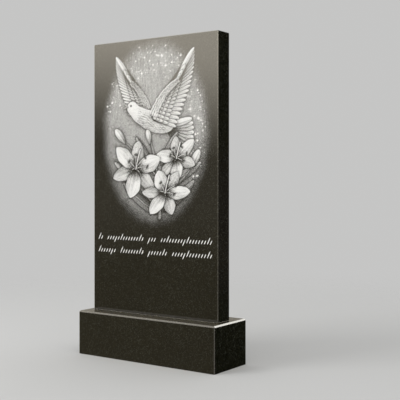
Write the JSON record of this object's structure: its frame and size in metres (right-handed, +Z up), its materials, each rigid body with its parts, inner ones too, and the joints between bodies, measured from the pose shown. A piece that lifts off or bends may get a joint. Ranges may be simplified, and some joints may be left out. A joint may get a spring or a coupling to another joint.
{
  "type": "granite monument",
  "caption": "Upright polished granite memorial slab on a rectangular granite plinth, with rows of engraved strokes on the front.",
  "frame": {"origin": "centre of the plinth's underside, on the ground", "axes": "+Z up along the stele's height; -Y is the front with the engraving; +X is to the right of someone who faces the front"},
  "size_m": [0.613, 0.199, 1.1613],
  "materials": {
    "stele_granite": "polished black granite with an etched picture and pale engraved strokes",
    "plinth_granite": "polished black granite, sawn behind and below"
  },
  "bodies": {
    "root": {"stele": "stele_granite", "plinth": "plinth_granite"}
  },
  "joints": []
}
